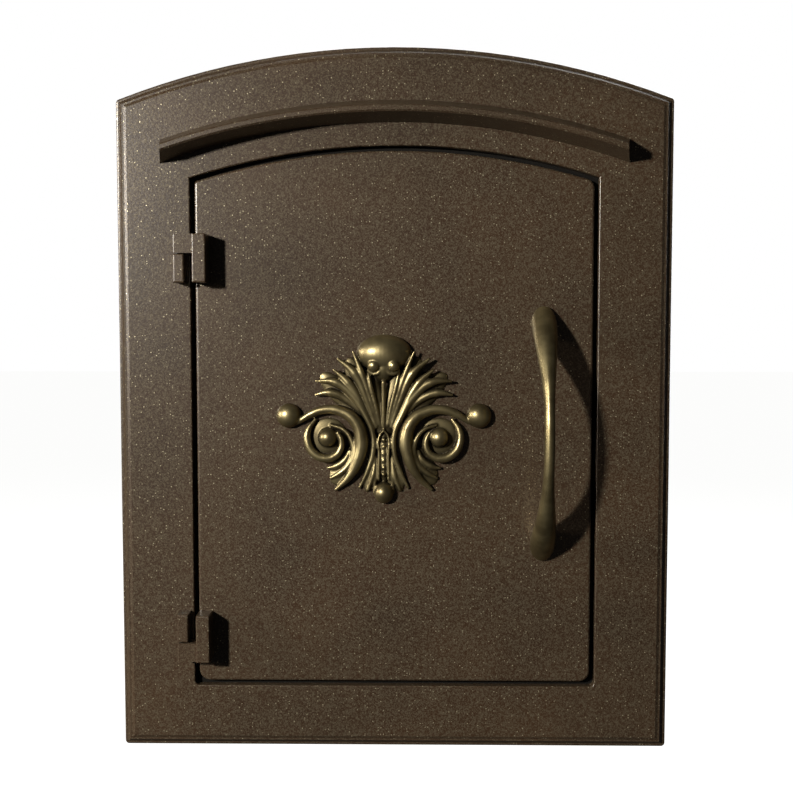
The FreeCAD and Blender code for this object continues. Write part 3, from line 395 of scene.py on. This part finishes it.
# %% [markdown]
# ### Ribs of the fan
#
# Each rib starts thin at the root beside the stem, swells, and ends in a thin tip that lifts off
# the leaf. The outermost one runs on downwards past the stem and ends as a lower leaf.

# %% Fan of ribs
fan = [
    roll([(-15.8, -33, 1.2), (-9.8, -20, 2.4), (-6.6, -8, 3.2), (-7, 3, 3.6), (-11.5, 14, 3.8),
          (-19, 26, 4), (-30, 35, 4.4), (-43.5, 36, 4.6)],
         [0.9, 1.7, 1.8, 1.8, 2.0, 2.6, 2.8, 0.7]),
    roll([(-14, 15, 2.6), (-23, 24, 3), (-34, 28.5, 3.4), (-44, 27, 3.8)], [1.2, 2.4, 2.6, 0.7]),
    roll([(-6.2, 4, 3), (-13.5, 20, 3.8), (-22.5, 35, 4.4), (-32, 43.5, 5)], [1.1, 2.0, 2.9, 0.8]),
    roll([(-4.6, 6, 3), (-10.5, 24, 4.2), (-18.5, 41, 5), (-29.5, 50.5, 5.4)],
         [1.1, 2.2, 3.0, 0.9]),
    roll([(-3.6, 8, 3), (-8.2, 24, 4.6), (-13.8, 41, 5.4), (-19.5, 55, 5.6)], [1.0, 1.7, 2.1, 0.8]),
    roll([(-2.2, 7, 3), (-5, 21, 4.8), (-8, 33, 5.8), (-10, 43, 6)], [0.8, 1.2, 1.4, 0.8]),
]
print(len(fan), "ribs in each half of the fan.")

# %% [markdown]
# ### Scrolls
#
# The main scroll is an S: up from a lower leaf, round the bead, and out to a thin tail with a ball
# above it. A second roll curls inside it, and two thinner ones trail down as leaflets.

# %% Scrolls, leaflets and beads
scrolls = [
    roll([(-31, -34, 1.5), (-22, -25, 3), (-16, -13, 4), (-14.2, 0, 4.4), (-18.5, 11, 4.2),
          (-27, 16.6, 3.8), (-37, 17.8, 3.4), (-46, 15, 3), (-53.5, 10.3, 2.6), (-59, 7, 2.2)],
         [1.2, 2.6, 4.0, 4.5, 4.1, 3.4, 3.0, 2.6, 1.8, 0.5]),
    roll([(-43, 12, 2.6), (-48, 4.5, 3.2), (-48.2, -3.5, 3.6), (-44.5, -10, 3.8), (-38, -13.2, 4),
          (-31.5, -12, 4.2), (-27.5, -7.5, 4.4), (-27, -1.5, 4.6), (-29.5, 4, 4.8)],
         [1.0, 2.2, 2.6, 2.8, 2.8, 2.6, 2.2, 1.8, 0.9]),
    roll([(-34, 8, 2.5), (-25, 4.5, 3.2), (-20.2, -2.5, 3.8), (-19.2, -10, 3.8), (-22, -17, 3.2),
          (-27.5, -22.5, 2.6), (-34.5, -26.5, 1.8)], [0.9, 1.4, 1.7, 1.9, 2.0, 1.8, 0.7]),
    roll([(-21.5, -8, 3), (-24.5, -14, 3), (-30, -18.2, 2.6), (-36.5, -19.8, 1.8)],
         [1.0, 2.0, 2.2, 0.8]),
    roll([(-5.2, -12, 2.8), (-6.8, -24, 2.8), (-10.5, -34.5, 1.8)], [0.8, 1.5, 1.0]),
    roll([(-4.6, -14, 2.6), (-5.2, -26, 2.6), (-6.4, -36, 1.8)], [0.7, 1.2, 0.8]),
]
beads = [
    ball((-35.3, 0, 3), (6.0, 6.0, 6.0)),
    ball((-60.5, 13.8, 1.2), (7.9, 6.8, 7.9)),
    ball((-6.2, 46.0, 7.9), (3.8, 3.9, 3.9)),
]
curls = [roll([(-9.6, 47, 6.4), (-8.8, 42, 7), (-4.6, 40.6, 7.6), (-1.8, 43.4, 7.8),
               (-1.5, 48, 7.6)], [0.5, 0.9, 1.1, 1.0, 0.5])]
print(len(scrolls), "rolls and", len(beads), "beads in each half.")

# %% [markdown]
# ### Mounds and stem
#
# The ribs stand on low mounds, so that the grooves between them have a bottom of cast metal, and a
# thin roll edges the stem. That completes the left half, which is joined and mirrored.

# %% Mounds, stem edge and mirror
mounds = [
    ball((-12, 27, 0), (8, 3.8, 26), 336),
    ball((-23, 25, 0), (8, 3.2, 23), 312),
    ball((-5, 22, 0), (6, 4.2, 24), 350),
    ball((-35.3, 0, 0), (12.5, 2.4, 12.5)),
    ball((-24, -18, 0), (8, 3.0, 15), 35),
    ball((-7, -21, 0), (5, 3.0, 15), 15),
]
stem_edge = [roll([(-3, -27.5, 3.6), (-3, -12, 4.2), (-2.7, 1, 4.2), (0, 4.6, 4)],
                  [0.8, 0.8, 0.8, 0.7])]
left_half = joined("ornament_half", fan + scrolls + beads + curls + mounds + stem_edge)
mirror = left_half.modifiers.new("mirror", "MIRROR")
mirror.use_mirror_merge = False
apply_modifiers(left_half)
print("Both halves:", len(left_half.data.polygons), "faces.")

# %% [markdown]
# ### Stem, bud and beads
#
# What lies on the middle line is laid down last: the stem with its row of beads and the ball at its
# foot, the middle rib, and the bud that crowns the fan.

# %% Stem, bud and beads
STEM_BEADS = 6
LOWEST_BEAD_UP = -23.5
BEAD_PITCH = 4.4
middle = [ball((0, -12, 0), (4.4, 4.2, 18)), ball((0, -35.6, 1.2), (6.4, 6.6, 6.9)),
          ball((0.2, 53.4, 1.0), (17.6, 10.8, 12.0)), ball((0, 46, 1.5), (7.6, 7.8, 11.0)),
          roll([(0, 5, 3), (0, 20, 4.8), (0, 36, 6)], [0.9, 1.3, 1.6])]
middle += [ball((0, LOWEST_BEAD_UP + BEAD_PITCH * i, 3.8), (1.3, 1.2, 1.5))
           for i in range(STEM_BEADS)]
ornament = joined("cast_ornament", [left_half] + middle)
print("Laid out:", len(ornament.data.polygons), "faces, not yet joined.")

# %% [markdown]
# ### Melting it together
#
# The remesh turns the heap into one skin. A little smoothing takes away the voxels' steps and
# softens the grooves as casting does. What lies below the door's face is cut away.

# %% One skin
VOXEL_MM = 0.56
select_only(ornament)
remesh = ornament.modifiers.new("melt", "REMESH")
remesh.mode = "VOXEL"
remesh.voxel_size = VOXEL_MM * MM
remesh.use_smooth_shade = True
soften = ornament.modifiers.new("soften", "SMOOTH")
soften.factor = 0.5
soften.iterations = 3
apply_modifiers(ornament)
bpy.ops.object.mode_set(mode="EDIT")
bpy.ops.mesh.select_all(action="SELECT")
bpy.ops.mesh.bisect(plane_co=(0, 0, 0), plane_no=(0, 1, 0), use_fill=True, clear_outer=True)
bpy.ops.object.mode_set(mode="OBJECT")
print("Melted:", len(ornament.data.polygons), "faces.")

# %% [markdown]
# ### Studs
#
# A cast ornament is held by studs that are cast on its back. They pass through the door, and a
# push nut grips each one inside. With its two studs the ornament is complete. It is set on the
# door where the CAD model has its plain stand-in, and it takes the stand-in's place.

# %% Studs, and the ornament's place on the door
SMOOTH_ANGLE = math.radians(50)
STUD_PITCH = 70 * MM
STUD_RADIUS = 1.9 * MM
BELOW_SCROLLS = 43.5 * MM
low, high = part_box("ornament")
door_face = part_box("door_panel")[0].y
stud_length = high.y - door_face
studs = []
for side in (-0.5, 0.5):
    bpy.ops.object.select_all(action="DESELECT")
    bpy.ops.mesh.primitive_cylinder_add(vertices=32, radius=STUD_RADIUS, depth=stud_length,
                                        location=(STUD_PITCH * side, stud_length / 2, 0),
                                        rotation=(math.radians(90), 0, 0))
    studs.append(bpy.context.object)
ornament = joined("cast_ornament", [ornament] + studs)
ornament.location = ((low.x + high.x) / 2, door_face, low.z + BELOW_SCROLLS)
bpy.ops.object.transform_apply(location=True, rotation=True, scale=True)
bpy.ops.object.shade_smooth_by_angle(angle=SMOOTH_ANGLE)
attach(ornament, "door")
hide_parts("ornament")
print("Ornament:", len(ornament.data.polygons), "faces.")

# %% [markdown]
# ## The door pull
#
# The pull is a bow: a crescent from the side, and from the front a pair of teardrop feet drawn out
# to a narrow waist. It is cast in bronze and filed smooth. We describe it by rings. Each ring is an
# ellipse that spans from the outer arc to the inner arc, and its width follows a smooth step from
# the waist to the foot. The first and last rings lie flat on the door.

# %% Arcs of the pull
handle_low, handle_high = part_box("door_handle")
HANDLE_MIDDLE = (handle_low + handle_high) / 2
HALF_LENGTH = (handle_high.z - handle_low.z) / 2
RISE = door_face - handle_low.y
FOOT_WIDTH = handle_high.x - handle_low.x
WAIST_WIDTH = 6.6 * MM
INNER_HALF_LENGTH = 62 * MM
INNER_RISE = 37 * MM
WAIST_SHARE = 0.2
FOOT_SHARE = 0.95
SIDES = 28


def bow(half_length, rise, share):
    """A point on an arc over the door, from its low end at -1 to its high end at 1: (lift, up)."""
    radius = (half_length ** 2 + rise ** 2) / (2 * rise)
    angle = share * math.asin(half_length / radius)
    return Vector((rise - radius + radius * math.cos(angle), radius * math.sin(angle)))


def smooth_step(share):
    """From 0 to 1 without a kink at either end."""
    share = min(max(share, 0), 1)
    return share * share * (3 - 2 * share)


def handle_ring(share):
    """The points of one ring of the pull."""
    outer, inner = bow(HALF_LENGTH, RISE, share), bow(INNER_HALF_LENGTH, INNER_RISE, share)
    middle, half_depth = (outer + inner) / 2, (outer - inner) / 2
    swell = smooth_step((abs(share) - WAIST_SHARE) / (FOOT_SHARE - WAIST_SHARE))
    half_width = (WAIST_WIDTH + (FOOT_WIDTH - WAIST_WIDTH) * swell) / 2
    points = []
    for step in range(SIDES):
        angle = 2 * math.pi * step / SIDES
        lift, up = middle + half_depth * math.cos(angle)
        points.append(Vector((HANDLE_MIDDLE.x + half_width * math.sin(angle), door_face - lift,
                              HANDLE_MIDDLE.z + up)))
    return points


print("The pull rises", round(RISE / MM, 1), "mm from the door.")

# %% [markdown]
# ### Lofting the pull
#
# The loft starts as a circle. It is extruded once for every ring, and each time the new points are
# set on that ring's ellipse. One round of subdivision takes away the facets, as the file does.

# %% Lofting the pull
RINGS = 41
bpy.ops.object.select_all(action="DESELECT")
bpy.ops.mesh.primitive_circle_add(vertices=SIDES, radius=FOOT_WIDTH / 2, fill_type="NGON")
handle = bpy.context.object
handle.name = "bowed_pull"
bpy.ops.object.mode_set(mode="EDIT")
bpy.ops.mesh.select_all(action="SELECT")
for ring in range(RINGS):
    if ring:
        bpy.ops.mesh.extrude_region_move()
    shape = bmesh.from_edit_mesh(handle.data)
    chosen = [vertex for vertex in shape.verts if vertex.select]
    if ring == 0:
        order = sorted(range(SIDES), key=lambda i: math.atan2(chosen[i].co.y, chosen[i].co.x))
    for i, point in zip(order, handle_ring(2 * ring / (RINGS - 1) - 1)):
        chosen[i].co = point
    bmesh.update_edit_mesh(handle.data)
bpy.ops.mesh.select_all(action="SELECT")
bpy.ops.mesh.normals_make_consistent(inside=False)
bpy.ops.object.mode_set(mode="OBJECT")
smoother = handle.modifiers.new("smoother", "SUBSURF")
smoother.levels = smoother.render_levels = 1
apply_modifiers(handle)
bpy.ops.object.shade_smooth_by_angle(angle=SMOOTH_ANGLE)
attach(handle, "door")
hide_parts("door_handle")
print("Pull:", len(handle.data.polygons), "faces.")

# %% [markdown]
# ## Antiqued bronze
#
# The ornament and the pull are bronze darkened with a patina that is then rubbed back. The rubbed
# high places are a warm olive brass and fairly smooth. The patina stays nearly black in every
# groove. Pointiness, which tells ridges from grooves, and ambient occlusion, which tells how deep a
# place lies, decide between the two.

# %% Antiqued bronze
PATINA_DEPTH_MM = 7
PATINA_CLOUD_MM = 14
RUB_MARK_MM = 0.8
antiqued_bronze, tree, shader, position = new_material(
    "antiqued bronze, rubbed back", "6f684c", Metallic=0.9, Roughness=0.4)
geometry = add(tree, "ShaderNodeNewGeometry")
ridge = add(tree, "ShaderNodeValToRGB", {"Fac": geometry.outputs["Pointiness"]},
            [(0.46, "000000"), (0.54, "ffffff")])
openness = add(tree, "ShaderNodeAmbientOcclusion", {"Distance": PATINA_DEPTH_MM * MM}, samples=8)
open_places = add(tree, "ShaderNodeValToRGB", {"Fac": openness.outputs["AO"]},
                  [(0.55, "000000"), (1.0, "ffffff")])
rubbed = add(tree, "ShaderNodeMixRGB", {"Fac": 0.45, "Color1": open_places, "Color2": ridge})
cloud = add(tree, "ShaderNodeTexNoise", {"Vector": position, "Scale": per_metre(PATINA_CLOUD_MM),
                                         "Detail": 4.0})
bronzes = add(tree, "ShaderNodeValToRGB", {"Fac": cloud}, [(0.35, "776a4b"), (0.65, "a3946c")])
patina = add(tree, "ShaderNodeMixRGB", {"Fac": rubbed, "Color1": linear("1b1510"),
                                        "Color2": bronzes})
sheen = add(tree, "ShaderNodeMapRange", {"Value": rubbed, "To Min": 0.6, "To Max": 0.33})
rub_marks = add(tree, "ShaderNodeTexNoise", {"Vector": position, "Scale": per_metre(RUB_MARK_MM),
                                             "Detail": 2.0})
relief = add(tree, "ShaderNodeBump", {"Height": rub_marks, "Strength": 0.25, "Distance": 0.08 * MM})
feed(shader, Base_Color=patina, Roughness=sheen, Normal=relief)
print("Antiqued bronze: patina in grooves up to", PATINA_DEPTH_MM, "mm deep.")

# %% [markdown]
# ## Galvanised sheet
#
# The box is folded from galvanised sheet. Zinc freezes on the steel in flat crystals about a
# centimetre across, the spangle, and each one mirrors the light a little differently. A Voronoi
# cell stands for each crystal, with its own grey and its own gloss, under a fine frost.

# %% Galvanised sheet
SPANGLE_MM = 11
FROST_MM = 2
galvanised_sheet, tree, shader, position = new_material(
    "galvanised steel sheet, spangled", "a4a8aa", Metallic=1.0, Roughness=0.42)
crystal = add(tree, "ShaderNodeTexVoronoi", {"Vector": position, "Scale": per_metre(SPANGLE_MM)})
tone = add(tree, "ShaderNodeSeparateColor", {"Color": crystal.outputs["Color"]})
zincs = add(tree, "ShaderNodeValToRGB", {"Fac": tone}, [(0.0, "a3a7a9"), (1.0, "bbbec0")])
sheen = add(tree, "ShaderNodeMapRange", {"Value": tone, "To Min": 0.40, "To Max": 0.50})
frost = add(tree, "ShaderNodeTexNoise", {"Vector": position, "Scale": per_metre(FROST_MM),
                                         "Detail": 4.0})
relief = add(tree, "ShaderNodeBump", {"Height": frost, "Strength": 0.2, "Distance": 0.05 * MM})
feed(shader, Base_Color=zincs, Roughness=sheen, Normal=relief)
print("Galvanised sheet: crystals", SPANGLE_MM, "mm across.")

# %% [markdown]
# ## Black coated steel
#
# The door stop frame is steel under a black coat with a fine sandy texture. It is matt, so that it
# vanishes in the gap round the door: the grit and a weak gloss leave the eye nothing to catch.

# %% Black coated steel
GRIT_MM = 0.9
black_coated_steel, tree, shader, position = new_material(
    "black coated steel, sandy", "100d0a", Roughness=0.85, IOR=1.5)
shader.inputs["Specular IOR Level"].default_value = 0.12
grit = add(tree, "ShaderNodeTexNoise", {"Vector": position, "Scale": per_metre(GRIT_MM),
                                        "Detail": 3.0})
blacks = add(tree, "ShaderNodeValToRGB", {"Fac": grit}, [(0.35, "0c0a08"), (0.7, "161310")])
relief = add(tree, "ShaderNodeBump", {"Height": grit, "Strength": 0.5, "Distance": 0.1 * MM})
feed(shader, Base_Color=blacks, Normal=relief)
print("Black coat: grit", GRIT_MM, "mm across.")

# %% [markdown]
# ## Zinc plate
#
# The screws, washers and catch plates are zinc plated steel. The bath leaves a bright grey, and the
# passivation after it tints that blue, or straw where it is thicker. A soft cloud gives both the
# tint and the gloss, and the pits are those of the plating.

# %% Zinc plate
PASSIVATION_MM = 5
PIT_MM = 0.5
zinc_plate, tree, shader, position = new_material(
    "zinc plated steel", "b3b3ad", Metallic=1.0, Roughness=0.3)
cloud = add(tree, "ShaderNodeTexNoise", {"Vector": position, "Scale": per_metre(PASSIVATION_MM),
                                         "Detail": 3.0})
zincs = add(tree, "ShaderNodeValToRGB", {"Fac": cloud},
            [(0.3, "a9b0b8"), (0.5, "b7b6b0"), (0.72, "bfb494")])
sheen = add(tree, "ShaderNodeMapRange", {"Value": cloud, "To Min": 0.24, "To Max": 0.42})
pits = add(tree, "ShaderNodeTexNoise", {"Vector": position, "Scale": per_metre(PIT_MM),
                                        "Detail": 2.0})
relief = add(tree, "ShaderNodeBump", {"Height": pits, "Strength": 0.2, "Distance": 0.03 * MM})
feed(shader, Base_Color=zincs, Roughness=sheen, Normal=relief)
print("Zinc plate: cloudy patches", PASSIVATION_MM, "mm across.")

# %% [markdown]
# ## Ground stainless steel
#
# The hinge pins are stainless steel, ground to size while they turn, which leaves fine rings round
# them. The noise is drawn out sideways twenty times, so that it makes rings and not spots.

# %% Ground stainless steel
RING_MM = 0.25
RING_STRETCH = (0.05, 0.05, 1.0)
ground_stainless, tree, shader, position = new_material(
    "stainless steel, ground", "b8b6b1", Metallic=1.0, Roughness=0.26)
stretched = add(tree, "ShaderNodeMapping", {"Vector": position, "Scale": RING_STRETCH})
rings = add(tree, "ShaderNodeTexNoise", {"Vector": stretched, "Scale": per_metre(RING_MM),
                                         "Detail": 2.0})
steels = add(tree, "ShaderNodeValToRGB", {"Fac": rings}, [(0.3, "a5a39e"), (0.7, "c2c0bb")])
relief = add(tree, "ShaderNodeBump", {"Height": rings, "Strength": 0.2, "Distance": 0.01 * MM})
feed(shader, Base_Color=steels, Normal=relief)
print("Ground stainless: rings", RING_MM, "mm apart.")

# %% [markdown]
# ## Blued spring steel
#
# The push nuts are stamped from spring steel and tempered, which turns them a dark blue that runs
# to brown where they grew hotter. A small cloud mixes the two colours and dulls the gloss here
# and there.

# %% Blued spring steel
TEMPER_CLOUD_MM = 3
blued_spring_steel, tree, shader, position = new_material(
    "spring steel, blued", "30333c", Metallic=1.0, Roughness=0.34)
cloud = add(tree, "ShaderNodeTexNoise", {"Vector": position, "Scale": per_metre(TEMPER_CLOUD_MM),
                                         "Detail": 3.0})
blues = add(tree, "ShaderNodeValToRGB", {"Fac": cloud}, [(0.3, "262a38"), (0.7, "45403f")])
sheen = add(tree, "ShaderNodeMapRange", {"Value": cloud, "To Min": 0.28, "To Max": 0.45})
feed(shader, Base_Color=blues, Roughness=sheen)
print("Spring steel: tempering colours in clouds of", TEMPER_CLOUD_MM, "mm.")

# %% [markdown]
# ## Drawn aluminium
#
# The blind rivets are aluminium, upset from drawn wire. They are pale and only half bright, because
# the setting tool and the die leave small dull places, and the same noise gives these their relief.

# %% Drawn aluminium
DULL_MM = 1.2
drawn_aluminium, tree, shader, position = new_material(
    "aluminium rivet, drawn", "c4c5c6", Metallic=1.0, Roughness=0.38)
dull = add(tree, "ShaderNodeTexNoise", {"Vector": position, "Scale": per_metre(DULL_MM),
                                        "Detail": 3.0})
greys = add(tree, "ShaderNodeValToRGB", {"Fac": dull}, [(0.3, "b3b4b6"), (0.7, "cfcfcf")])
relief = add(tree, "ShaderNodeBump", {"Height": dull, "Strength": 0.2, "Distance": 0.03 * MM})
feed(shader, Base_Color=greys, Normal=relief)
print("Rivets: dull places", DULL_MM, "mm across.")

# %% [markdown]
# ## Moulded nylon and acetal
#
# The catch has a case of black nylon, and the hinge washers are dark brown acetal, which is harder
# and waxier. Both are moulded and keep the faint grain that was etched into the mould, so one loop
# makes both, from each plastic's own colours and gloss.

# %% Moulded nylon and acetal
MOULD_GRAIN_MM = 0.7
moulded = {}
for plastic, name, colour, light, rough in (
        ("black_nylon", "black nylon, moulded", "151515", "1e1e1e", 0.5),
        ("acetal", "acetal, moulded", "26201a", "2f2820", 0.36)):
    moulded[plastic], tree, shader, position = new_material(name, colour, Roughness=rough, IOR=1.5)
    grain = add(tree, "ShaderNodeTexNoise", {"Vector": position, "Scale": per_metre(MOULD_GRAIN_MM),
                                             "Detail": 2.0})
    tones = add(tree, "ShaderNodeValToRGB", {"Fac": grain}, [(0.3, colour), (0.7, light)])
    relief = add(tree, "ShaderNodeBump", {"Height": grain, "Strength": 0.3, "Distance": 0.04 * MM})
    feed(shader, Base_Color=tones, Normal=relief)
    print(name, "has a grain of", MOULD_GRAIN_MM, "mm.")

# %% [markdown]
# ## Sintered ferrite
#
# The catch's magnet is ferrite, a dark grey ceramic pressed from powder and sintered. Its face is
# matt and slightly rough, with the small chips that such a brittle block has.

# %% Sintered ferrite
FERRITE_GRAIN_MM = 0.6
sintered_ferrite, tree, shader, position = new_material(
    "ferrite, sintered", "2b2b2e", Roughness=0.6, IOR=2.0)
grain = add(tree, "ShaderNodeTexNoise", {"Vector": position, "Scale": per_metre(FERRITE_GRAIN_MM),
                                         "Detail": 4.0})
greys = add(tree, "ShaderNodeValToRGB", {"Fac": grain}, [(0.35, "202023"), (0.7, "3a3a3e")])
relief = add(tree, "ShaderNodeBump", {"Height": grain, "Strength": 0.4, "Distance": 0.06 * MM})
feed(shader, Base_Color=greys, Normal=relief)
print("Ferrite: grain", FERRITE_GRAIN_MM, "mm across.")

# %% [markdown]
# ## Foam rubber
#
# The door seal is cut from a sheet of foam rubber. The knife opens its cells, which show as small
# pits. The same Voronoi pattern gives their depth and a painted shade that darkens each pit's
# bottom.

# %% Foam rubber
CELL_MM = 0.9
foam_rubber, tree, shader, position = new_material(
    "foam rubber, cut cells", "1b1b1b", Roughness=0.9, IOR=1.5)
cells = add(tree, "ShaderNodeTexVoronoi", {"Vector": position, "Scale": per_metre(CELL_MM)})
# painted shade: the colour darkens towards the middle of each cell, where its pit is deepest
blacks = add(tree, "ShaderNodeValToRGB", {"Fac": cells}, [(0.1, "0d0d0d"), (0.6, "242424")])
relief = add(tree, "ShaderNodeBump", {"Height": cells, "Strength": 0.6, "Distance": 0.2 * MM})
feed(shader, Base_Color=blacks, Normal=relief)
print("Foam cells", CELL_MM, "mm across.")

# %% [markdown]
# ## Finishing every piece
#
# The record names a finish for every node of the CAD model, so one loop dresses all of them. The
# two pieces modelled here are bronze. Each gets its own slot, because they are new meshes.

# %% A finish for every piece
finishes = {
    "bronze_coated_casting": bronze_powder_coat, "antiqued_bronze": antiqued_bronze,
    "black_coated_steel": black_coated_steel, "galvanised_steel": galvanised_sheet,
    "zinc_plated_steel": zinc_plate, "stainless_steel": ground_stainless,
    "spring_steel": blued_spring_steel, "aluminium_rivet": drawn_aluminium,
    "ferrite": sintered_ferrite, "foam_rubber": foam_rubber, **moulded,
}
for row in frame["record"]["subparts"]:
    for slot in frame["nodes"][row["node"]].material_slots:
        slot.material = finishes[row["material_slot"]]
for piece in (ornament, handle):
    piece.data.materials.clear()
    piece.data.materials.append(antiqued_bronze)
print(len(frame["nodes"]), "CAD nodes and 2 modelled pieces finished.")
